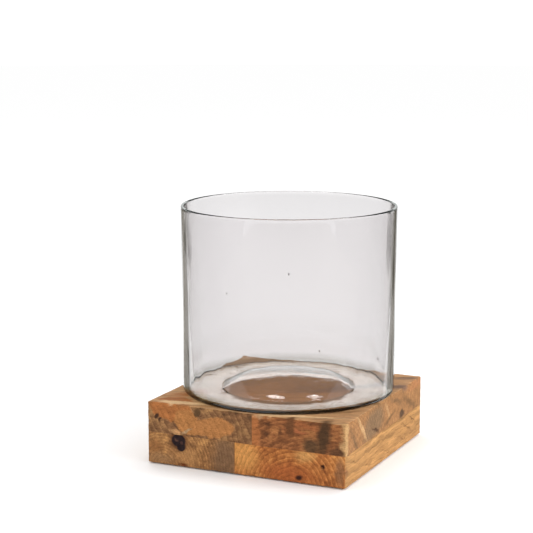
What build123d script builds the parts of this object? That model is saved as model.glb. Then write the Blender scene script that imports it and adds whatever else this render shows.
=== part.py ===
from build123d import *
import os

# Hurricane candle holder: a clear glass cylinder that stands on a square block glued up from four boards.
# Millimetres, +Z up. The origin is the centre of the base, on the plane that its felt feet stand on.
# The front of the base faces -Y and its right side faces +X.

# Wooden base
BASE_SIDE = 200.0            # square, seen from above
LOWER_LAYER = 30.0           # thickness of the two lower boards
UPPER_LAYER = 29.0           # thickness of the two upper boards
LOWER_JOINT_X = -9.5         # glue line between the two lower boards
UPPER_JOINT_X = 8.0          # glue line between the two upper boards, staggered from the lower one
CORNER_RADIUS = 1.5          # upright corners of the base, sanded
ARRIS_RADIUS = 1.0           # top and bottom edges of the base, sanded

# Felt feet under the base
FOOT_DIAMETER = 20.0
FOOT_THICKNESS = 1.0
FOOT_INSET = 22.0            # from the side of the base to the foot's centre

# Glass
RIM_DIAMETER = 206.0         # outside, at the lip
HEEL_DIAMETER = 204.0        # outside, at the bottom of the wall
GLASS_HEIGHT = 179.0
LIP_WALL = 3.0               # thickness of the wall at the lip
HEEL_WALL = 5.5              # thickness of the wall at the bottom
HEEL_RADIUS = 4.0            # outside corner between the wall and the foot
INNER_HEEL_RADIUS = 2.0      # inside corner between the wall and the floor
FLOOR = 3.0                  # thickness of the bottom, over the foot ring
PUNT_DIAMETER = 123.0        # the kicked-up middle of the bottom, under the floor
PUNT_SPREAD = 4.0            # how much wider it is on top of the floor
PUNT_RISE = 11.0             # how far its middle rises above the ring round it
CROWN_DIAMETER = 90.0        # its flatter middle, inside the rounder shoulder
CROWN_DROP = 3.4             # how far the crown falls from its middle to its edge
PUNT_BLEND = 4.0             # radius where the punt runs into the foot ring
STANDING_GAP = 0.1           # the foot ring isn't truly flat, so it stands this much clear on average

BASE_TOP = FOOT_THICKNESS + LOWER_LAYER + UPPER_LAYER
SEAM_Z = FOOT_THICKNESS + LOWER_LAYER
GLASS_Z = BASE_TOP + STANDING_GAP


def base_blank():
    """The whole glued-up base, planed square and with its edges sanded, before it is parted into boards."""
    height = BASE_TOP - FOOT_THICKNESS
    blank = Pos(0, 0, FOOT_THICKNESS) * Box(
        BASE_SIDE, BASE_SIDE, height, align=(Align.CENTER, Align.CENTER, Align.MIN)
    )
    blank = fillet(blank.edges().filter_by(Axis.Z), CORNER_RADIUS)
    rim_edges = blank.edges().group_by(Axis.Z)[0] + blank.edges().group_by(Axis.Z)[-1]
    return fillet(rim_edges, ARRIS_RADIUS)


def board(blank, x_from, x_to, z_from, z_to):
    """The stretch of the base between two upright glue lines and two levels."""
    width = x_to - x_from
    thickness = z_to - z_from
    cutter = Pos(x_from, 0, z_from) * Box(
        width, 2 * BASE_SIDE, thickness, align=(Align.MIN, Align.CENTER, Align.MIN)
    )
    return blank & cutter


def felt_foot(x, y):
    """A stick-on felt disc that ends flush with the underside of the base."""
    return Pos(x, y, 0) * Cylinder(
        FOOT_DIAMETER / 2, FOOT_THICKNESS, align=(Align.CENTER, Align.CENTER, Align.MIN)
    )


def near(shape, x, y):
    """The corner of a flat outline that lies at the given place."""
    return shape.vertices().sort_by_distance(Vector(x, y, 0))[0]


def punt_line(diameter, level):
    """The kicked-up middle of the bottom, from the axis outwards: a flat crown, then a rounder shoulder."""
    crown_edge = (CROWN_DIAMETER / 2, level + PUNT_RISE - CROWN_DROP)
    crown = TangentArc((0, level + PUNT_RISE), crown_edge, tangent=(1, 0))
    shoulder = TangentArc(crown_edge, (diameter / 2, level), tangent=crown % 1)
    return [crown, shoulder]


def glass_section():
    """Half of the glass cut through its axis: x is the radius and y is the height over the foot ring."""
    rim_radius = RIM_DIAMETER / 2
    heel = HEEL_DIAMETER / 2
    punt_under = PUNT_DIAMETER / 2
    punt_over = (PUNT_DIAMETER + PUNT_SPREAD) / 2
    lip_radius = LIP_WALL / 2
    lip_z = GLASS_HEIGHT - lip_radius
    foot = Line((punt_under, 0), (heel, 0))
    outer_wall = Line((heel, 0), (rim_radius, lip_z))
    lip = ThreePointArc(
        (rim_radius, lip_z), (rim_radius - lip_radius, GLASS_HEIGHT), (rim_radius - LIP_WALL, lip_z)
    )
    inner_wall = Line((rim_radius - LIP_WALL, lip_z), (heel - HEEL_WALL, FLOOR))
    floor_ring = Line((heel - HEEL_WALL, FLOOR), (punt_over, FLOOR))
    axis_side = Line((0, PUNT_RISE), (0, PUNT_RISE + FLOOR))
    outline = [foot, outer_wall, lip, inner_wall, floor_ring, axis_side]
    outline += punt_line(PUNT_DIAMETER, 0) + punt_line(PUNT_DIAMETER + PUNT_SPREAD, FLOOR)
    section = make_face(outline)
    section = fillet(near(section, heel, 0), HEEL_RADIUS)
    section = fillet(near(section, heel - HEEL_WALL, FLOOR), INNER_HEEL_RADIUS)
    section = fillet(near(section, punt_under, 0), PUNT_BLEND)
    return fillet(near(section, punt_over, FLOOR), PUNT_BLEND)


def glass_cylinder():
    """Closed-bottomed cylinder: foot ring, domed middle, slightly widening wall and a fully rounded lip."""
    upright = Plane(origin=(0, 0, GLASS_Z), x_dir=(1, 0, 0), z_dir=(0, -1, 0))
    return revolve(upright * glass_section(), Axis.Z)


def build():
    """Every sub-part by its node's name."""
    half = BASE_SIDE / 2
    blank = base_blank()
    parts = {
        "lower_left_block": board(blank, -half, LOWER_JOINT_X, FOOT_THICKNESS, SEAM_Z),
        "lower_right_block": board(blank, LOWER_JOINT_X, half, FOOT_THICKNESS, SEAM_Z),
        "upper_left_block": board(blank, -half, UPPER_JOINT_X, SEAM_Z, BASE_TOP),
        "upper_right_block": board(blank, UPPER_JOINT_X, half, SEAM_Z, BASE_TOP),
        "glass_cylinder": glass_cylinder(),
    }
    foot_place = half - FOOT_INSET
    for depth, y in (("front", -foot_place), ("back", foot_place)):
        for hand, x in (("left", -foot_place), ("right", foot_place)):
            parts[f"felt_foot_{depth}_{hand}"] = felt_foot(x, y)
    return parts


os.makedirs("parts", exist_ok=True)
for node, part in build().items():
    export_step(part, f"parts/{node}.step")
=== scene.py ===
import math
import random

import bmesh
import bpy
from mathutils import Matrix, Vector


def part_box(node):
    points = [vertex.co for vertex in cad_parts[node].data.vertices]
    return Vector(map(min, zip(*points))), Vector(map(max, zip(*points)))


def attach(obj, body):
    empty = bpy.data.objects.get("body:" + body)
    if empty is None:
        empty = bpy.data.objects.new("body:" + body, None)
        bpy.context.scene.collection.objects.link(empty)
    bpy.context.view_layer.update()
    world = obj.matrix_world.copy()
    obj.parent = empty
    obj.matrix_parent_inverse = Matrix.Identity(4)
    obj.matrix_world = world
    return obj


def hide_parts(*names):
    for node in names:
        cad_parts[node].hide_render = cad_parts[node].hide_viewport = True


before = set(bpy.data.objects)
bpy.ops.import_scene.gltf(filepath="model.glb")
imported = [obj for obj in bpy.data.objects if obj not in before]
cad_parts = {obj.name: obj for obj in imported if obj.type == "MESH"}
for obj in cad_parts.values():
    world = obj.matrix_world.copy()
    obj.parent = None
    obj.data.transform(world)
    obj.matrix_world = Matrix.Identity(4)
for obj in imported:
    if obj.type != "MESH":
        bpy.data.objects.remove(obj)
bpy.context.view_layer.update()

# Sizes in metres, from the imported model's own boxes wherever it has them.
GLASS_LOW, GLASS_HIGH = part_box("glass_cylinder")
BASE_LOW = Vector(map(min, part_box("lower_left_block")[0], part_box("lower_right_block")[0]))
BASE_HIGH = Vector(map(max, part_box("upper_left_block")[1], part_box("upper_right_block")[1]))
MM = 0.001
TOUCH = 0.01 * MM            # two places nearer than this count as the same

# The glass is drawn a hair inside its solid, so that its waves stay inside too.
GLASS_SLACK = 0.5 * MM
LIP_SLACK = 0.1 * MM
RIM_RADIUS = (GLASS_HIGH.x - GLASS_LOW.x) / 2 - GLASS_SLACK
HEEL_RADIUS = RIM_RADIUS - 1.0 * MM
LIP_WALL = 3.0 * MM
HEEL_WALL = 5.5 * MM
FLOOR_THICKNESS = 3.0 * MM
HEEL_ROUND = 4.0 * MM
INNER_ROUND = 2.0 * MM
PUNT_UNDER_RADIUS = 61.5 * MM
PUNT_OVER_RADIUS = 63.5 * MM
PUNT_RISE = 11.0 * MM
CROWN_RADIUS = 45.0 * MM
CROWN_DROP = 3.4 * MM
PUNT_BEVEL = 1.2 * MM        # rounds the shallow bend between the punt and the ring to about 4 mm
SEED_STRETCH = 1.7           # the bubbles in the wall were drawn out upwards
# The side where the glass corner's painted dark olive shade is deepest.
OLIVE_SHADE_SIDE = (-7.2, -7.8, 0)  # towards the front left, scaled so that the heel comes to about 1.08 there

# The boards, in millimetres, as the marks on them are placed.
FRONT = BASE_LOW.y / MM
RIGHT = BASE_HIGH.x / MM
TOP = BASE_HIGH.z / MM

ARRIS_ROUND = 1.2 * MM       # outer edges of the base, sanded
GLUE_LINE_BREAK = 0.15 * MM  # edges along the glue lines, just broken
BOARD_STEP = 1.6 * MM        # spacing of a board's mesh, fine enough for its dents

# The camera: where it stands, how far it is tilted up from looking straight down, and the way it looks,
# seen from above, as a turn from +Y towards -X.
CAMERA_PLACE = (0.6044, -1.3534, 0.4392)
CAMERA_TILT = math.radians(80.05)
VIEW_TURN = math.radians(24.89)


# ---------------------------------------------------------------- small tools


def pick(name):
    """Only this object is selected and active."""
    bpy.ops.object.select_all(action="DESELECT")
    piece = bpy.data.objects[name]
    piece.select_set(True)
    bpy.context.view_layer.objects.active = piece
    return piece


def select(mesh, kind, wanted):
    """In edit mode, selects the faces or edges whose middle and normal pass the test."""
    bpy.ops.mesh.select_all(action="DESELECT")
    bpy.ops.mesh.select_mode(type=kind)
    shape = bmesh.from_edit_mesh(mesh)
    if kind == "FACE":
        for face in shape.faces:
            face.select_set(wanted(face.calc_center_median(), face.normal))
    else:
        for edge in shape.edges:
            ends = [v.co for v in edge.verts]
            edge.select_set(wanted((ends[0] + ends[1]) / 2, ends[1] - ends[0]))
    bmesh.update_edit_mesh(mesh)


def linear(hex_code):
    """A colour's sRGB hex code as the linear RGBA that a shader works in."""
    channels = [int(hex_code[i : i + 2], 16) / 255 for i in (1, 3, 5)]
    return [c / 12.92 if c <= 0.04045 else ((c + 0.055) / 1.055) ** 2.4 for c in channels] + [1.0]


def node(tree, kind, inputs=None, stops=None, **settings):
    """Adds one shader node. inputs are values or other nodes' outputs, and stops are a ramp's colours."""
    made = tree.nodes.new(kind)
    for name, value in settings.items():
        setattr(made, name, value)
    for place, (at, colour) in enumerate(stops or []):
        elements = made.color_ramp.elements
        stop = elements[place] if place < len(elements) else elements.new(at)
        stop.position = at
        stop.color = colour
    for socket, value in (inputs or {}).items():
        if isinstance(value, bpy.types.NodeSocket):
            tree.links.new(value, made.inputs[socket])
        else:
            made.inputs[socket].default_value = value
    return made


def material(name):
    """A new material with an empty node tree, and its output node."""
    made = bpy.data.materials.new(name)
    made.use_nodes = True
    made.node_tree.nodes.clear()
    return made, made.node_tree, node(made.node_tree, "ShaderNodeOutputMaterial")


# ---------------------------------------------------------------- camera, floor and light


def set_camera():
    camera = bpy.data.objects.new("camera", bpy.data.cameras.new("camera"))
    bpy.context.scene.collection.objects.link(camera)
    camera.data.lens = 106.7
    camera.data.sensor_width = 36.0
    camera.location = CAMERA_PLACE
    camera.rotation_euler = (CAMERA_TILT, 0, VIEW_TURN)
    bpy.context.scene.camera = camera


def lay_floor():
    bpy.ops.object.select_all(action="DESELECT")
    bpy.ops.mesh.primitive_circle_add(vertices=96, radius=8.0, fill_type="NGON", location=(0, 0, 0))
    floor = bpy.context.object
    floor.name = "floor"
    # Matt white paper. Rays that come through the glass find it a little greyer, which stands for the dimmer
    # ends of the sheet that thick, wavy glass bends into view.
    made, tree, output = material("white studio paper")
    path = node(tree, "ShaderNodeLightPath")
    tone = node(tree, "ShaderNodeMix", {
        0: path.outputs["Is Transmission Ray"], 6: linear("#FCFCFC"), 7: linear("#E7E7E7")}, data_type="RGBA")
    paper = node(tree, "ShaderNodeBsdfDiffuse", {"Color": tone.outputs[2]})
    tree.links.new(paper.outputs[0], output.inputs["Surface"])
    floor.data.materials.append(made)


def softbox(name, place, aim, width, height, watts):
    lamp = bpy.data.lights.new(name, "AREA")
    lamp.shape = "RECTANGLE"
    lamp.size = width
    lamp.size_y = height
    lamp.energy = watts
    box = bpy.data.objects.new(name, lamp)
    bpy.context.scene.collection.objects.link(box)
    box.location = place
    box.rotation_euler = (Vector(aim) - Vector(place)).to_track_quat("-Z", "Y").to_euler()
    return box


def punt_arcs(edge_radius):
    """The kicked-up middle's two arcs, crown and shoulder: for each, its radius, its centre's distance from
    the axis and height over the ring, and the slope at its outer end."""
    crown_slope = 2 * math.atan(CROWN_DROP / CROWN_RADIUS)
    crown = CROWN_RADIUS / math.sin(crown_slope)
    fall = PUNT_RISE - CROWN_DROP
    edge_slope = 2 * math.atan2(fall, edge_radius - CROWN_RADIUS) - crown_slope
    shoulder = (edge_radius - CROWN_RADIUS) / (math.sin(edge_slope) - math.sin(crown_slope))
    return (
        (crown, 0.0, PUNT_RISE - crown, crown_slope),
        (shoulder, CROWN_RADIUS - shoulder * math.sin(crown_slope), fall - shoulder * math.cos(crown_slope),
         edge_slope),
    )


def mirrored_in_shoulder(x, y, distance):
    """A place on the shoulder of the glass's domed floor, and what the camera sees reflected in it there."""
    shoulder, centre_out, centre_up, _ = punt_arcs(PUNT_OVER_RADIUS)[1]
    radius = math.hypot(x, y)
    slope = math.asin((radius - centre_out) / shoulder)
    height = GLASS_LOW.z + FLOOR_THICKNESS + centre_up + shoulder * math.cos(slope)
    spot = Vector((x, y, height))
    normal = Vector((x / radius * math.sin(slope), y / radius * math.sin(slope), math.cos(slope)))
    ray = (spot - bpy.context.scene.camera.location).normalized()
    return spot, spot + ray.reflect(normal) * distance


def on_floor(right, forward):
    """A place on the floor, measured from the middle of the base as the camera sees it."""
    across = Vector((math.cos(VIEW_TURN), math.sin(VIEW_TURN), 0))
    ahead = Vector((-math.sin(VIEW_TURN), math.cos(VIEW_TURN), 0))
    return across * right + ahead * forward + Vector((0, 0, 0.5 * MM))


def dark_card(name, hex_code):
    """Turns the mesh just added into a dark card that shows only as a reflection in glass."""
    card = bpy.context.object
    card.name = name
    made, tree, output = material("matt card " + name)
    board = node(tree, "ShaderNodeBsdfDiffuse", {"Color": linear(hex_code)})
    tree.links.new(board.outputs[0], output.inputs["Surface"])
    card.data.materials.append(made)
    card.visible_camera = False
    card.visible_shadow = False
    card.visible_diffuse = False
    card.visible_transmission = False


def dark_wedge(name, right, turn, half_angle, length, hex_code):
    """A long three-cornered card on the floor that fans out from one side of the glass, away from the
    camera. Its turn and half of its angle are in degrees."""
    heading = VIEW_TURN + math.radians(turn)
    tip = on_floor(right, -0.05)
    middle = tip + Vector((-math.sin(heading), math.cos(heading), 0)) * length * 2 / 3
    bpy.ops.object.select_all(action="DESELECT")
    bpy.ops.mesh.primitive_circle_add(vertices=3, radius=1, fill_type="NGON", location=middle)
    card = bpy.context.object
    half_width = length * math.tan(math.radians(half_angle))
    card.scale = (half_width / math.sin(math.radians(60)), length / 1.5, 1)
    card.rotation_euler.z = heading + math.pi
    dark_card(name, hex_code)


def hang_tent():
    """A white tent that ends a little above the set. Over it the studio is dark, which only mirrors show.

    Mirrors and glass see the tent, matt surfaces get one even soft light from all round, and the camera
    sees white."""
    world = bpy.data.worlds.new("white studio")
    bpy.context.scene.world = world
    world.use_nodes = True
    world.cycles.sampling_method = "NONE"
    tree = world.node_tree
    tree.nodes.clear()
    path = node(tree, "ShaderNodeLightPath")
    direction = node(tree, "ShaderNodeTexCoord")
    height = node(tree, "ShaderNodeSeparateXYZ", {0: direction.outputs["Generated"]})
    tent = node(tree, "ShaderNodeValToRGB", {"Fac": height.outputs["Z"]}, [
        (math.sin(math.radians(degrees_up)), (brightness * 0.96, brightness, brightness * 0.98, 1))
        for degrees_up, brightness in ((11.0, 0.5), (13.2, 1.0), (16.0, 1.0), (16.7, 0.03))])
    mirrored = node(tree, "ShaderNodeBackground", {"Color": tent.outputs["Color"], "Strength": 2.2})
    soft = node(tree, "ShaderNodeBackground", {"Color": (1, 1, 1, 1), "Strength": 1.02})
    seen = node(tree, "ShaderNodeBackground", {"Color": (1, 1, 1, 1), "Strength": 1.05})
    scattered = node(tree, "ShaderNodeMath", {
        0: path.outputs["Diffuse Depth"], 1: 0.5}, operation="GREATER_THAN")
    by_glass = node(tree, "ShaderNodeMixShader", {
        0: scattered.outputs[0], 1: mirrored.outputs[0], 2: soft.outputs[0]})
    mix = node(tree, "ShaderNodeMixShader", {
        0: path.outputs["Is Camera Ray"], 1: by_glass.outputs[0], 2: seen.outputs[0]})
    node(tree, "ShaderNodeOutputWorld", {"Surface": mix.outputs[0]})


def hang_softboxes():
    """One from the right for the wood, and two overhead that the domed floor of the glass mirrors."""
    side_light = softbox("right softbox", (1.6, 0.1, 0.75), (0, 0, 0.1), 0.9, 0.7, 13)
    side_light.visible_glossy = False
    side_light.visible_transmission = False
    for name, right, forward in (("left", -0.0137, -0.057), ("right", 0.0252, -0.054)):
        below = on_floor(right, forward)
        spot, lamp_place = mirrored_in_shoulder(below.x, below.y, 2.0)
        softbox("overhead softbox " + name, lamp_place, spot, 0.32, 0.4, 3.5)


def lay_dark_cards():
    """Dark cards on the floor, which give clear glass something to mirror."""
    dark_wedge("left card", -0.105, 29, 11, 2.6, "#999486")
    dark_wedge("right card", 0.105, -33, 10, 2.6, "#908C7E")
    dark_wedge("left surround", -0.2, 88, 50, 3.0, "#3F3D36")
    dark_wedge("right surround", 0.2, -88, 50, 3.0, "#3F3D36")
    bpy.ops.object.select_all(action="DESELECT")
    bpy.ops.mesh.primitive_plane_add(size=2.0, location=on_floor(0, -1.3), rotation=(0, 0, VIEW_TURN))
    dark_card("front card", "#959082")


# ---------------------------------------------------------------- glass


def ring_to(radius_now, radius, rise, centre):
    """In edit mode, draws the selected round face in to a smaller ring and lifts it."""
    bpy.ops.mesh.extrude_region()
    factor = radius / radius_now
    bpy.ops.transform.resize(value=(factor, factor, 1), center_override=centre)
    bpy.ops.transform.translate(value=(0, 0, rise))


def kick_up(mesh, level, facing, edge_radius, centre):
    """Draws a flat round end in to the punt's edge, then up over its shoulder and crown.

    The last ring stays 0.4 of a step off the axis, and is merged into one point there."""
    select(mesh, "FACE", lambda at, normal: (
        abs(at.z - level) < TOUCH and normal.z * facing > 0.9 and at.xy.length < CROWN_RADIUS))
    ring_to(HEEL_RADIUS if facing < 0 else HEEL_RADIUS - HEEL_WALL, edge_radius, 0, centre)
    crown, shoulder = punt_arcs(edge_radius)
    radius = edge_radius
    height = 0.0
    for arc, inner_slope, steps, off_axis in ((shoulder, crown[3], 10, 0), (crown, 0.0, 14, 0.4)):
        size, centre_out, centre_up, outer_slope = arc
        for step in range(1, steps + 1):
            part_way = step / (steps + off_axis)
            slope = outer_slope + (inner_slope - outer_slope) * part_way
            new_radius = centre_out + size * math.sin(slope)
            new_height = centre_up + size * math.cos(slope)
            ring_to(radius, new_radius, new_height - height, centre)
            radius = new_radius
            height = new_height
    bpy.ops.mesh.merge(type="CENTER")


def group_of(piece, name, wanted):
    """A vertex group of the points that pass the test."""
    group = piece.vertex_groups.new(name=name)
    group.add([point.index for point in piece.data.vertices if wanted(point.co)], 1.0, "REPLACE")
    return name


def waves(piece, name, size, stretch, strength, direction, group, shift):
    """Pushes a piece's surface about by a smooth noise, drawn out along Z.

    Its size and strength are in millimetres."""
    bpy.ops.object.empty_add(location=shift)
    ruler = bpy.context.object
    ruler.scale = (size * MM, size * MM, size * MM * stretch)
    bpy.context.view_layer.update()
    noise = bpy.data.textures.new(name, "CLOUDS")
    noise.noise_scale = 1.0
    noise.noise_depth = 1
    pick(piece.name)
    push = piece.modifiers.new(name, "DISPLACE")
    push.texture = noise
    push.texture_coords = "OBJECT"
    push.texture_coords_object = ruler
    push.direction = direction
    push.strength = strength * MM
    push.mid_level = 0.5
    push.vertex_group = group
    bpy.ops.object.modifier_apply(modifier=name)
    bpy.data.objects.remove(ruler)


def blow_glass():
    """The cylinder: a tube with a flat foot ring, a kicked-up middle, round corners and a rounded lip."""
    bpy.ops.object.select_all(action="DESELECT")
    bottom = GLASS_LOW.z
    top = GLASS_HIGH.z - LIP_SLACK
    middle = Vector((0, 0, (bottom + top) / 2))
    bpy.ops.mesh.primitive_cylinder_add(vertices=256, radius=HEEL_RADIUS, depth=top - bottom, location=middle)
    glass = bpy.context.object
    glass.name = "glass"
    bpy.ops.object.transform_apply(location=True)
    bpy.ops.object.mode_set(mode="EDIT")
    mesh = glass.data
    select(mesh, "FACE", lambda at, normal: normal.z > 0.9)
    widen = RIM_RADIUS / HEEL_RADIUS
    bpy.ops.transform.resize(value=(widen, widen, 1), center_override=(0, 0, top))
    ring_to(RIM_RADIUS, RIM_RADIUS - LIP_WALL, 0, (0, 0, top))
    floor_level = bottom + FLOOR_THICKNESS
    ring_to(RIM_RADIUS - LIP_WALL, HEEL_RADIUS - HEEL_WALL, floor_level - top, (0, 0, top))
    kick_up(mesh, floor_level, 1, PUNT_OVER_RADIUS, (0, 0, floor_level))
    kick_up(mesh, bottom, -1, PUNT_UNDER_RADIUS, (0, 0, bottom))

    def ring_at(level, radius):
        return lambda at, along: (
            abs(at.z - level) < TOUCH and abs(at.xy.length - radius) < 0.3 * MM and abs(along.z) < TOUCH)

    lip_round = LIP_WALL * 0.49
    for level, radius, size, segments in (
        (bottom, HEEL_RADIUS, HEEL_ROUND, 8),
        (floor_level, HEEL_RADIUS - HEEL_WALL, INNER_ROUND, 8),
        (top, RIM_RADIUS, lip_round, 6),
        (top, RIM_RADIUS - LIP_WALL, lip_round, 6),
        (bottom, PUNT_UNDER_RADIUS, PUNT_BEVEL, 5),
        (floor_level, PUNT_OVER_RADIUS, PUNT_BEVEL, 5),
    ):
        select(mesh, "EDGE", ring_at(level, radius))
        bpy.ops.mesh.bevel(offset=size, segments=segments, affect="EDGES")
    select(mesh, "EDGE", lambda at, along: abs(along.z) > 0.1)
    bpy.ops.mesh.subdivide(number_cuts=60)
    bpy.ops.object.mode_set(mode="OBJECT")
    let_it_sag(glass)
    blow_seeds(glass)
    pick("glass")
    bpy.ops.object.shade_smooth()
    glass.data.materials.clear()
    glass.data.materials.append(clear_glass())
    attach(glass, "glass")
    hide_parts("glass_cylinder")


def let_it_sag(glass):
    """Hand-made glass is never true: its wall sways and varies in thickness, and its floor ripples."""
    wall_bottom = GLASS_LOW.z + 7 * MM
    floor_bottom = GLASS_LOW.z + 0.5 * MM
    floor_top = GLASS_LOW.z + 16 * MM
    wall = group_of(glass, "wall", lambda at: at.z > wall_bottom and at.xy.length > 80 * MM)
    inside_floor = group_of(glass, "floor", lambda at: (
        floor_bottom < at.z < floor_top and at.xy.length < 88 * MM))
    waves(glass, "sway across", 45, 2.2, 0.7, "X", wall, (0.3, 0, 0))
    waves(glass, "sway along", 45, 2.2, 0.7, "Y", wall, (0, 0.4, 0))
    waves(glass, "thick and thin", 13, 5.0, 0.22, "NORMAL", wall, (0.1, 0.2, 0))
    waves(glass, "floor ripple", 20, 1.0, 0.35, "Z", inside_floor, (0.2, 0.1, 0))


def blow_seeds(glass):
    """Small drawn-out bubbles that were caught inside the wall: hollows, so their faces look inwards.

    For each: its place round the glass in degrees, its height and its radius in millimetres."""
    chance = random.Random(7)
    seeds = [(-66, 190, 0.7), (-50, 119, 0.6), (-11, 103, 0.75)]
    for _ in range(9):
        seeds.append((chance.uniform(-180, 180), chance.uniform(75, 225), chance.uniform(0.25, 0.5)))
    for degrees, height, size in seeds:
        angle = math.radians(degrees)
        part_way = (height * MM - GLASS_LOW.z) / (GLASS_HIGH.z - GLASS_LOW.z)
        outside = HEEL_RADIUS + (RIM_RADIUS - HEEL_RADIUS) * part_way
        radius = outside - (HEEL_WALL + (LIP_WALL - HEEL_WALL) * part_way) / 2
        bpy.ops.object.select_all(action="DESELECT")
        bpy.ops.mesh.primitive_uv_sphere_add(
            segments=16, ring_count=10, radius=size * MM,
            location=(radius * math.cos(angle), radius * math.sin(angle), height * MM))
        bubble = bpy.context.object
        bpy.ops.object.transform_apply(location=True)
        bpy.ops.object.mode_set(mode="EDIT")
        bpy.ops.mesh.select_all(action="SELECT")
        bpy.ops.transform.resize(value=(1, 1, SEED_STRETCH), center_override=(0, 0, height * MM))
        bpy.ops.mesh.flip_normals()
        bpy.ops.object.mode_set(mode="OBJECT")
        pick(glass.name)
        bubble.select_set(True)
        bpy.ops.object.join()


def clear_glass():
    """Soda-lime glass, blown by hand and left as the fire polished it: clear, with faint upright cords that
    bend what is behind, a painted dark grey outline where it is seen edge on, and painted dark olive shade in
    its thick bottom corner, most on the left."""
    made, tree, output = material("hand-made soda-lime glass")
    path = node(tree, "ShaderNodeLightPath")
    place = node(tree, "ShaderNodeTexCoord")

    # Cords about 11 mm apart and ten times as long. The real ones are finer, and wouldn't show.
    drawn = node(tree, "ShaderNodeMapping", {"Vector": place.outputs["Object"], "Scale": (90.0, 90.0, 9.0)})
    streaks = node(tree, "ShaderNodeTexNoise", {"Vector": drawn.outputs[0], "Scale": 1.0, "Detail": 3.0})
    cord = node(tree, "ShaderNodeBump", {
        "Height": streaks.outputs["Fac"], "Strength": 0.25, "Distance": 0.4 * MM})

    # Painted shade: the thick bottom corner is painted dark olive, most of all on the left.
    flat = node(tree, "ShaderNodeVectorMath", {
        0: place.outputs["Object"], 1: (1, 1, 0)}, operation="MULTIPLY")
    radius = node(tree, "ShaderNodeVectorMath", {0: flat.outputs[0]}, operation="LENGTH")
    height = node(tree, "ShaderNodeSeparateXYZ", {0: place.outputs["Object"]})
    in_corner = node(tree, "ShaderNodeMapRange", {
        "Value": radius.outputs["Value"], "From Min": HEEL_RADIUS - 6 * MM, "From Max": HEEL_RADIUS - 3 * MM})
    low_down = node(tree, "ShaderNodeMapRange", {
        "Value": height.outputs["Z"], "From Min": GLASS_LOW.z + 12 * MM, "From Max": GLASS_LOW.z + 5 * MM})
    leftness = node(tree, "ShaderNodeVectorMath", {
        0: flat.outputs[0], 1: OLIVE_SHADE_SIDE}, operation="DOT_PRODUCT")
    on_left = node(tree, "ShaderNodeMapRange", {
        "Value": leftness.outputs["Value"], "From Min": 0.82, "From Max": 1.08,
        "To Min": 0.55, "To Max": 1.0})
    corner = node(tree, "ShaderNodeMath", {
        0: in_corner.outputs[0], 1: low_down.outputs[0]}, operation="MULTIPLY")
    olive = node(tree, "ShaderNodeMath", {0: corner.outputs[0], 1: on_left.outputs[0]}, operation="MULTIPLY")

    # Painted reflection and shade: where the wall is seen edge on, its base colour is painted dark grey,
    # least of all near the thin lip.
    painted_outline_facing = node(tree, "ShaderNodeLayerWeight", {"Blend": 0.5})
    up_the_wall = node(tree, "ShaderNodeMapRange", {
        "Value": height.outputs["Z"], "From Min": GLASS_LOW.z + 5 * MM, "From Max": GLASS_LOW.z + 9 * MM})
    wall_only = node(tree, "ShaderNodeMath", {
        0: in_corner.outputs[0], 1: up_the_wall.outputs[0]}, operation="MULTIPLY")
    thinner = node(tree, "ShaderNodeMapRange", {
        "Value": height.outputs["Z"], "From Min": 0.15, "From Max": GLASS_HIGH.z,
        "To Min": 0.0, "To Max": -0.08})
    edge = node(tree, "ShaderNodeMath", {
        0: painted_outline_facing.outputs["Facing"], 1: wall_only.outputs[0], 2: thinner.outputs[0]},
        operation="MULTIPLY_ADD")
    clear = node(tree, "ShaderNodeValToRGB", {"Fac": edge.outputs[0]}, [
        (0.0, linear("#F5F3F4")), (0.42, linear("#EFEDEE")), (0.62, linear("#EBE8E8")),
        (0.69, linear("#615D5B")), (0.82, linear("#615D5B")), (0.90, linear("#BCBCBC"))])
    tone = node(tree, "ShaderNodeMix", {
        0: olive.outputs[0], 6: clear.outputs["Color"], 7: linear("#65653F")}, data_type="RGBA")
    body = node(tree, "ShaderNodeBsdfPrincipled", {
        "Base Color": tone.outputs[2], "Roughness": 0.0, "IOR": 1.52, "Transmission Weight": 1.0,
        "Normal": cord.outputs[0]})

    # Daylight that falls through it on to the wood loses almost nothing.
    open_way = node(tree, "ShaderNodeBsdfTransparent", {"Color": linear("#FAFBFA")})
    mix = node(tree, "ShaderNodeMixShader", {
        0: path.outputs["Is Shadow Ray"], 1: body.outputs[0], 2: open_way.outputs[0]})
    tint = node(tree, "ShaderNodeVolumeAbsorption", {"Color": linear("#DFDED4"), "Density": 12.0})
    tree.links.new(mix.outputs[0], output.inputs["Surface"])
    tree.links.new(tint.outputs[0], output.inputs["Volume"])
    return made


# ---------------------------------------------------------------- wood

# How many of each pattern there are to a millimetre, across the grain.
FIBRES_PER_MM = 0.7
BANDS_PER_MM = 0.22
PORES_PER_MM = 0.85
SPECKS_PER_MM = 1.1
CLOUDS_PER_MM = 0.045
WAVE_PERIOD = 0.314          # a wave texture of scale 1 repeats after this length

TOP_TONE = "#C2966A"         # planed along the grain and paler than the ends


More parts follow.
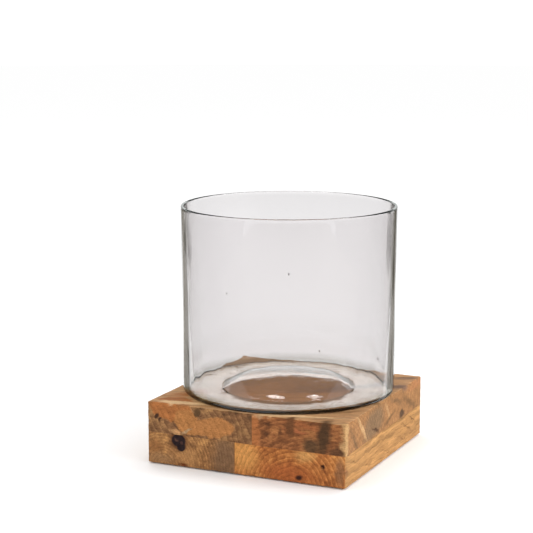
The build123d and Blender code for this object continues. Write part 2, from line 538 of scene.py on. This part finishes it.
def wood(name, tones, pith, fibre_turn, ring_gap, ring_strength, side_tone, seed, marks):
    """Mango board, sawn, sanded and thinly oiled: a matt face with growth rings round a pith, fibres along
    it, open pores, and marks that the tree left; the upper boards' marks also hold a round of painted shade
    under the glass.

    Lengths are millimetres. tones run from dark to light. Each mark is a patch of another colour:
    its colour, middle, half-widths, turn in degrees, softness of its edge and whether the edge is torn."""
    made, tree, output = material(name)
    place = node(tree, "ShaderNodeTexCoord")
    at = node(tree, "ShaderNodeVectorMath", {0: place.outputs["Object"], "Scale": 1000.0}, operation="SCALE")

    # Slow drift bends the rings and fibres, and a quicker one tears the edges of the marks.
    moved = []
    for size, amount in ((32, 7), (7, 9)):
        drift = node(tree, "ShaderNodeTexNoise", {
            "Vector": at.outputs[0], "W": seed, "Scale": 1 / size, "Detail": 5.0}, noise_dimensions="4D")
        offset = node(tree, "ShaderNodeVectorMath", {
            0: drift.outputs["Color"], 1: (0.5, 0.5, 0.5)}, operation="SUBTRACT")
        moved.append(node(tree, "ShaderNodeVectorMath", {
            0: offset.outputs[0], 1: (amount, amount, amount), 2: at.outputs[0]}, operation="MULTIPLY_ADD"))
    bent, torn = moved

    # Growth rings, fibres and pores, in a frame whose X runs along the fibres.
    grain_frame = node(tree, "ShaderNodeMapping", {
        "Vector": bent.outputs[0], "Location": pith, "Rotation": (0, 0, math.radians(fibre_turn))},
        vector_type="TEXTURE")
    rings = node(tree, "ShaderNodeTexWave", {
        "Vector": grain_frame.outputs[0], "Scale": WAVE_PERIOD / ring_gap, "Distortion": 4.0, "Detail": 4.0,
        "Detail Scale": 0.5}, wave_type="RINGS", rings_direction="X", wave_profile="SAW")
    long_ways = node(tree, "ShaderNodeMapping", {
        "Vector": grain_frame.outputs[0], "Scale": (0.05, 1.0, 1.0)})
    fibres = node(tree, "ShaderNodeTexNoise", {
        "Vector": long_ways.outputs[0], "Scale": FIBRES_PER_MM, "Detail": 6.0, "Roughness": 0.65})
    wide_ways = node(tree, "ShaderNodeMapping", {
        "Vector": grain_frame.outputs[0], "Scale": (0.1, 1.0, 1.0)})
    bands = node(tree, "ShaderNodeTexNoise", {
        "Vector": wide_ways.outputs[0], "Scale": BANDS_PER_MM, "Detail": 4.0, "Roughness": 0.6})
    specks = node(tree, "ShaderNodeTexNoise", {
        "Vector": at.outputs[0], "Scale": SPECKS_PER_MM, "Detail": 3.0, "Roughness": 0.7})
    pores = node(tree, "ShaderNodeTexVoronoi", {
        "Vector": long_ways.outputs[0], "Scale": PORES_PER_MM, "Randomness": 1.0})
    pore_dark = node(tree, "ShaderNodeMapRange", {
        "Value": pores.outputs["Distance"], "From Min": 0.10, "From Max": 0.30,
        "To Min": 0.45, "To Max": 1.0})
    cloud = node(tree, "ShaderNodeTexNoise", {
        "Vector": bent.outputs[0], "Scale": CLOUDS_PER_MM, "Detail": 5.0, "Roughness": 0.6})

    # The board's own colour.
    ringed = node(tree, "ShaderNodeMath", {
        0: rings.outputs["Fac"], 1: ring_strength, 2: cloud.outputs["Fac"]}, operation="MULTIPLY_ADD")
    fibred = node(tree, "ShaderNodeMath", {
        0: bands.outputs["Fac"], 1: 0.7, 2: ringed.outputs[0]}, operation="MULTIPLY_ADD")
    usual = 0.85 + ring_strength / 2
    spread = node(tree, "ShaderNodeMapRange", {
        "Value": fibred.outputs[0], "From Min": usual - 0.26, "From Max": usual + 0.26,
        "To Min": 0.0, "To Max": 1.0})
    own = node(tree, "ShaderNodeValToRGB", {"Fac": spread.outputs[0]}, [
        (0.0, linear(tones[0])), (0.5, linear(tones[1])), (1.0, linear(tones[2]))])

    # Long faces are paler than end grain, and the top is palest.
    facing = node(tree, "ShaderNodeSeparateXYZ", {0: place.outputs["Normal"]})
    colour = own.outputs["Color"]
    for axis, tone in (("X", side_tone), ("Z", TOP_TONE)):
        faces = node(tree, "ShaderNodeMath", {0: facing.outputs[axis]}, operation="ABSOLUTE")
        mask = node(tree, "ShaderNodeMapRange", {
            "Value": faces.outputs[0], "From Min": 0.6, "From Max": 0.8, "To Min": 0.0, "To Max": 1.0})
        paler = node(tree, "ShaderNodeMix", {
            0: 0.72, 6: own.outputs["Color"], 7: linear(tone)}, data_type="RGBA")
        colour = node(tree, "ShaderNodeMix", {
            0: mask.outputs[0], 6: colour, 7: paler.outputs[2]}, data_type="RGBA").outputs[2]

    for hex_code, middle, half_widths, turn, softness, is_torn in marks:
        colour = mark(tree, torn if is_torn else at, colour, hex_code, middle, half_widths, turn, softness)

    # Fibres and pores run through the marks as well.
    line = node(tree, "ShaderNodeMapRange", {
        "Value": fibres.outputs["Fac"], "From Min": 0.3, "From Max": 0.7, "To Min": 0.80, "To Max": 1.18})
    grain = node(tree, "ShaderNodeMath", {0: line.outputs[0], 1: pore_dark.outputs[0]}, operation="MULTIPLY")
    shade = grain
    for pattern, spread_over, low, high in (
        (rings, (0.0, 1.0), 1 - ring_strength, 1 + ring_strength),
        (bands, (0.3, 0.7), 0.81, 1.17),
        (specks, (0.3, 0.7), 0.84, 1.15),
    ):
        level = node(tree, "ShaderNodeMapRange", {
            "Value": pattern.outputs["Fac"], "From Min": spread_over[0], "From Max": spread_over[1],
            "To Min": low, "To Max": high})
        shade = node(tree, "ShaderNodeMath", {0: shade.outputs[0], 1: level.outputs[0]}, operation="MULTIPLY")
    grained = node(tree, "ShaderNodeVectorMath", {0: colour, "Scale": shade.outputs[0]}, operation="SCALE")
    relief = node(tree, "ShaderNodeBump", {
        "Height": grain.outputs[0], "Strength": 0.35, "Distance": 0.15 * MM})
    sheen = node(tree, "ShaderNodeMapRange", {
        "Value": grain.outputs[0], "From Min": 0.4, "From Max": 1.2, "To Min": 0.75, "To Max": 0.55})
    body = node(tree, "ShaderNodeBsdfPrincipled", {
        "Base Color": grained.outputs[0], "Roughness": sheen.outputs[0], "Normal": relief.outputs[0],
        "Specular IOR Level": 0.12})
    tree.links.new(body.outputs[0], output.inputs["Surface"])
    return made


def mark(tree, at, colour, hex_code, middle, half_widths, turn, softness):
    """Lays an oval patch of another colour over the colour so far."""
    radians = [math.radians(degrees) for degrees in turn]
    local = node(tree, "ShaderNodeMapping", {
        "Vector": at.outputs[0], "Location": middle, "Rotation": radians, "Scale": half_widths},
        vector_type="TEXTURE")
    reach = node(tree, "ShaderNodeVectorMath", {0: local.outputs[0]}, operation="LENGTH")
    mask = node(tree, "ShaderNodeMapRange", {
        "Value": reach.outputs["Value"], "From Min": 1 + softness, "From Max": 1 - softness,
        "To Min": 0.0, "To Max": 1.0}, interpolation_type="SMOOTHSTEP")
    return node(tree, "ShaderNodeMix", {
        0: mask.outputs[0], 6: colour, 7: linear(hex_code)}, data_type="RGBA").outputs[2]


# Painted shade: both upper boards are painted browner in a round where the glass stands, for the shade the
# glass casts on the wood, with one dark streak in it.
PAINTED_SHADE_UNDER_GLASS = (
    ("#B47A42", (0, 0, TOP), (62, 62, 4), (0, 0, 0), 0.3, False),
    ("#8E5E34", (36, 8, TOP), (34, 14, 4), (0, 0, 30), 0.8, True),
)


def spalted_board():
    """Upper left: grey-brown spalting round torn patches of sound orange wood."""
    return wood(
        "spalted mango", tones=("#5C4029", "#80593A", "#A47B4E"), pith=(-40, 60, 10), fibre_turn=25,
        ring_gap=3.0, ring_strength=0.12, side_tone="#A87F52", seed=1.0, marks=[
            ("#A36638", (-76, FRONT, 55), (22, 30, 11), (0, 6, 0), 0.08, True),
            ("#AC7442", (-58, FRONT, 44), (14, 26, 11), (0, 35, 0), 0.08, True),
            ("#AC7443", (-31, FRONT, 42), (21, 24, 9.5), (0, -8, 0), 0.08, True),
            ("#B5875A", (-70, FRONT, 33.5), (7, 8, 2.4), (0, 15, 0), 0.4, True),
            ("#AD8C66", (-58, FRONT, 35.5), (5.0, 6, 1.6), (0, -35, 0), 0.5, True),
            ("#4A3020", (-90, FRONT, 47), (1.6, 4, 3), (0, 20, 0), 0.4, True),
            ("#4A3020", (-86.5, FRONT, 44), (1.4, 4, 2.4), (0, 20, 0), 0.4, True),
            ("#5C4228", (-48, FRONT, 55), (2.5, 8, 4.5), (0, 20, 0), 0.4, True),
            *PAINTED_SHADE_UNDER_GLASS,
            ("#A66A3C", (-72, -58, TOP), (24, 8, 6), (0, 0, 35), 0.6, True),
            ("#A97C50", (-30, -92, TOP), (30, 2.2, 4), (0, 0, 12), 0.7, True),
            ("#D2AC80", (-70, -92, TOP), (26, 5, 4), (0, 0, 8), 0.4, True),
        ])


def brown_board():
    """Upper right: reddish brown with dark bands at the front, tan with curved rings on the right."""
    return wood(
        "brown mango", tones=("#5E3920", "#885431", "#A87042"), pith=(100, -112, 8), fibre_turn=25,
        ring_gap=3.4, ring_strength=0.10, side_tone="#A87C50", seed=2.0, marks=[
            ("#A5663A", (11, FRONT, 45), (5, 20, 22), (0, 0, 0), 0.3, True),
            ("#9A5C36", (60, FRONT, 55), (16, 12, 2.2), (0, 6, 0), 0.8, True),
            ("#A05E3A", (52, FRONT, 49), (10, 12, 1.4), (0, 6, 0), 0.8, True),
            ("#6B4327", (46, FRONT, 53), (4, 14, 11), (0, 0, 0), 0.5, True),
            ("#503722", (79, FRONT, 47), (6.0, 12, 19), (0, 8, 0), 0.5, True),
            ("#5A3F28", (66, FRONT, 36), (8, 12, 7), (0, 0, 0), 0.45, True),
            ("#5E3D26", (93, FRONT, 33), (9, 10, 5), (0, 0, 0), 0.35, True),
            ("#5E3A22", (24, FRONT, 52), (2.6, 4, 2.2), (0, 0, 0), 0.9, True),
            ("#5E3A22", (23, FRONT, 43), (2.2, 4, 3), (0, 0, 0), 0.9, True),
            ("#5E3A22", (36, FRONT, 46), (1.8, 4, 5), (0, 0, 0), 0.9, True),
            ("#BC9464", (RIGHT, -97, 47), (5, 4, 24), (0, 0, 0), 0.5, True),
            ("#86684A", (RIGHT, -30, 44), (6, 26, 13), (10, 0, 0), 0.35, True),
            ("#C49B6C", (RIGHT, -60, 47), (5, 2.2, 18), (42, 0, 0), 0.7, True),
            ("#553A26", (RIGHT, -27, 37), (3, 10, 1.3), (-25, 0, 0), 0.7, True),
            ("#5D4430", (RIGHT, 45, 35), (4, 7, 4), (0, 0, 0), 0.4, True),
            ("#B88E62", (RIGHT, 6, 48), (4, 1.8, 10), (35, 0, 0), 0.8, True),
            ("#A9744A", (RIGHT, 84, 55), (6, 22, 4), (0, 0, 0), 0.4, True),
            ("#7E5C3C", (RIGHT, 30, 51), (4, 16, 2.6), (-20, 0, 0), 0.8, True),
            ("#7E5C3C", (RIGHT, 68, 41), (4, 20, 3.0), (-25, 0, 0), 0.8, True),
            ("#7E5C3C", (RIGHT, -78, 40), (4, 3, 15), (35, 0, 0), 0.8, True),
            ("#7E5C3C", (RIGHT, 10, 38), (4, 14, 2.2), (15, 0, 0), 0.8, True),
            *PAINTED_SHADE_UNDER_GLASS,
            ("#8A6446", (80, -84, TOP), (17, 2.6, 5), (0, 0, 30), 0.6, True),
            ("#A37A52", (52, -78, TOP), (40, 2.4, 4), (0, 0, 22), 0.7, True),
            ("#86613E", (74, -64, TOP), (28, 2.6, 4), (0, 0, 35), 0.8, True),
            ("#86613E", (88, -30, TOP), (26, 2.6, 4), (0, 0, 50), 0.8, True),
            ("#86613E", (90, 8, TOP), (20, 2.2, 4), (0, 0, 35), 0.8, True),
            ("#D2AC80", (50, -90, TOP), (40, 3, 4), (0, 0, 14), 0.5, True),
            ("#806250", (82, 40, TOP), (34, 7, 5), (0, 0, 40), 0.5, True),
            ("#8A6A50", (88, 84, TOP), (12, 5, 5), (0, 0, 30), 0.5, True),
        ])


def knotty_board():
    """Lower left: golden brown, a dark knot against the seam, greyer towards the joint."""
    return wood(
        "knotty mango", tones=("#6F4B2E", "#9A6C42", "#BA8851"), pith=(-84, 0, 2), fibre_turn=90,
        ring_gap=3.0, ring_strength=0.13, side_tone="#BC905B", seed=3.0, marks=[
            ("#7A5A3F", (-19, FRONT, 15), (13, 40, 24), (0, 8, 0), 0.6, True),
            ("#8E6038", (-92, FRONT, 18), (8, 20, 6), (0, 0, 0), 0.5, True),
            ("#98704A", (-86, FRONT, 7), (14, 10, 5), (0, 0, 0), 0.7, True),
            ("#A8794B", (-60, FRONT, 12), (12, 15, 8), (0, 20, 0), 0.5, True),
            ("#6B3618", (-62, FRONT, 3), (3.5, 5, 1.6), (0, 0, 0), 0.5, True),
            ("#6E482B", (-67, FRONT, 24.5), (10, 8, 9), (0, 0, 0), 0.35, True),
            ("#281A1B", (-67.5, FRONT, 25.5), (7.2, 9, 6.3), (0, 0, 0), 0.12, False),
            ("#281A1B", (-65, FRONT, 20), (4.6, 8, 4.4), (0, 30, 0), 0.15, False),
            ("#5A3E34", (-69.5, FRONT, 26), (2.2, 3, 1.2), (0, 30, 0), 0.5, True),
            ("#513630", (-64.5, FRONT, 23), (1.8, 3, 1.4), (0, -30, 0), 0.5, True),
        ])


def golden_board():
    """Lower right: orange-brown with arched rings at the front, pale gold on the right."""
    return wood(
        "golden mango", tones=("#8A4F28", "#AE6C38", "#C68A4D"), pith=(48, 0, -6), fibre_turn=90,
        ring_gap=4.2, ring_strength=0.15, side_tone="#B28A57", seed=4.0, marks=[
            ("#C88C4C", (0, FRONT, 20), (13, 20, 15), (0, -20, 0), 0.6, True),
            ("#A35C30", (45, FRONT, 8), (24, 20, 9), (0, 0, 0), 0.6, True),
            ("#C08A50", (61, FRONT, 27), (9, 14, 5), (0, 0, 0), 0.7, True),
            ("#8E5F3C", (95, FRONT, 16), (5, 8, 12), (0, 0, 0), 0.5, True),
            ("#3E2015", (78, FRONT, 19), (2.4, 4, 1.7), (0, 10, 0), 0.5, False),
            ("#3E2015", (55, FRONT, 6), (3.4, 4, 2.3), (0, -15, 0), 0.5, False),
            ("#946A40", (RIGHT, 60, 18), (4, 16, 1.0), (-26, 0, 0), 0.9, True),
            ("#946A40", (RIGHT, 48, 9), (4, 10, 0.9), (-26, 0, 0), 0.9, True),
            ("#7E5834", (RIGHT, 74, 23), (4, 9, 0.8), (-26, 0, 0), 0.9, True),
        ])


# ---------------------------------------------------------------- boards and feet


def push_in(piece, name, size, depth, group=""):
    """Wears the surface down by up to this depth, by a noise of this size. Nothing is pushed outwards."""
    noise = bpy.data.textures.new(name, "CLOUDS")
    noise.noise_scale = size
    noise.noise_depth = 2
    noise.contrast = 1.6
    push = piece.modifiers.new(name, "DISPLACE")
    push.texture = noise
    push.texture_coords = "LOCAL"
    push.direction = "NORMAL"
    push.strength = depth
    push.mid_level = 1.0
    push.vertex_group = group
    bpy.ops.object.modifier_apply(modifier=name)


def saw_board(node_name, name, made, knots=()):
    """One board of the base: sawn to its box, outer arrises sanded round, glue lines just broken.

    Each knot, which the sander left hollow, is given by its x, z and half-width in millimetres."""
    low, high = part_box(node_name)
    bpy.ops.object.select_all(action="DESELECT")
    bpy.ops.mesh.primitive_cube_add(size=1, location=(low + high) / 2)
    piece = bpy.context.object
    piece.name = name
    piece.scale = high - low
    bpy.ops.object.transform_apply(location=True, scale=True)
    bpy.ops.object.mode_set(mode="EDIT")
    mesh = piece.data

    def outer_sides(at):
        """How many of the base's outer faces this place lies on."""
        sides = [at.x - BASE_LOW.x, BASE_HIGH.x - at.x, at.y - BASE_LOW.y, BASE_HIGH.y - at.y]
        sides += [at.z - BASE_LOW.z, BASE_HIGH.z - at.z]
        return sum(side < TOUCH for side in sides)

    select(mesh, "EDGE", lambda at, along: outer_sides(at) >= 2)
    bpy.ops.mesh.bevel(offset=ARRIS_ROUND, segments=4, affect="EDGES")
    select(mesh, "EDGE", lambda at, along: (
        along.length > 20 * MM and outer_sides(at) == 1 and on_a_joint(at, low, high)))
    bpy.ops.mesh.bevel(offset=GLUE_LINE_BREAK, segments=1, affect="EDGES")
    for axis in range(3):
        length = (high - low)[axis]
        select(mesh, "EDGE", lambda at, along: abs(along[axis]) > 0.8 * length)
        bpy.ops.mesh.subdivide(number_cuts=round(length / BOARD_STEP))
    bpy.ops.object.mode_set(mode="OBJECT")

    arris = group_of(piece, "arris", near_arris)
    push_in(piece, "sanding", 9 * MM, 0.12 * MM)
    push_in(piece, "nicks", 3.5 * MM, 0.4 * MM, arris)
    for x, z, half_width in knots:
        group = group_of(piece, "knot", lambda at: (
            at.y < BASE_LOW.y + 0.3 * MM and math.hypot(at.x - x * MM, at.z - z * MM) < half_width * MM))
        push_in(piece, "knot hollow", 2.0 * MM, 1.6 * MM, group)
    bpy.ops.object.shade_smooth_by_angle(angle=math.radians(30))
    piece.data.materials.append(made)
    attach(piece, "base")
    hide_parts(node_name)


def on_a_joint(at, low, high):
    """Whether this place on a board is on a face that is glued to a neighbour."""
    glued_x = [side for side in (low.x, high.x) if BASE_LOW.x + TOUCH < side < BASE_HIGH.x - TOUCH]
    glued_z = [side for side in (low.z, high.z) if BASE_LOW.z + TOUCH < side < BASE_HIGH.z - TOUCH]
    gaps = [abs(at.x - side) for side in glued_x] + [abs(at.z - side) for side in glued_z]
    return any(gap < TOUCH for gap in gaps)


def near_arris(at):
    """Whether this place is within the sanded round of one of the base's outer edges."""
    reach = 1.6 * MM
    sides = [BASE_HIGH.x - abs(at.x), BASE_HIGH.y - abs(at.y), min(at.z - BASE_LOW.z, BASE_HIGH.z - at.z)]
    return sum(side < reach for side in sides) >= 2


def cut_feet():
    """Stick-on felt discs, soft at the edge."""
    made = pressed_felt()
    for place in ("front_left", "front_right", "back_left", "back_right"):
        low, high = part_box("felt_foot_" + place)
        bpy.ops.object.select_all(action="DESELECT")
        bpy.ops.mesh.primitive_cylinder_add(
            vertices=96, radius=(high.x - low.x) / 2, depth=high.z - low.z, location=(low + high) / 2)
        disc = bpy.context.object
        disc.name = "felt_pad_" + place
        bpy.ops.object.transform_apply(location=True)
        bpy.ops.object.mode_set(mode="EDIT")
        select(disc.data, "EDGE", lambda at, along: abs(along.z) < 1e-6)
        bpy.ops.mesh.bevel(offset=0.25 * MM, segments=3, affect="EDGES")
        select(disc.data, "EDGE", lambda at, along: abs(along.z) > 0.3 * MM)
        bpy.ops.mesh.subdivide(number_cuts=3)
        bpy.ops.object.mode_set(mode="OBJECT")
        push_in(disc, "fuzz", 0.9 * MM, 0.3 * MM)
        bpy.ops.object.shade_smooth_by_angle(angle=math.radians(40))
        disc.data.materials.append(made)
        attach(disc, "base")
        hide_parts("felt_foot_" + place)


def pressed_felt():
    """Dark brown wool felt, matted and pressed: a dull face whose tufts catch a little light."""
    tuft = 0.4 * MM
    made, tree, output = material("pressed wool felt")
    place = node(tree, "ShaderNodeTexCoord")
    mat = node(tree, "ShaderNodeTexNoise", {
        "Vector": place.outputs["Object"], "Scale": 1 / tuft, "Detail": 6.0, "Distortion": 1.5})
    shade = node(tree, "ShaderNodeValToRGB", {"Fac": mat.outputs["Fac"]}, [
        (0.3, linear("#2A2420")), (0.7, linear("#5A4E45"))])
    relief = node(tree, "ShaderNodeBump", {
        "Height": mat.outputs["Fac"], "Strength": 0.8, "Distance": 0.2 * MM})
    body = node(tree, "ShaderNodeBsdfPrincipled", {
        "Base Color": shade.outputs["Color"], "Roughness": 0.95, "Sheen Weight": 0.3,
        "Normal": relief.outputs[0]})
    tree.links.new(body.outputs[0], output.inputs["Surface"])
    return made


bpy.context.scene.view_settings.view_transform = "Standard"
set_camera()
lay_floor()
hang_tent()
hang_softboxes()
lay_dark_cards()
blow_glass()
saw_board("upper_left_block", "board_upper_left", spalted_board())
saw_board("upper_right_block", "board_upper_right", brown_board())
saw_board("lower_left_block", "board_lower_left", knotty_board(),
          [(-67, 24.5, 6.2)])
saw_board("lower_right_block", "board_lower_right", golden_board(),
          [(78, 19, 1.9), (55, 6, 2.6)])
cut_feet()
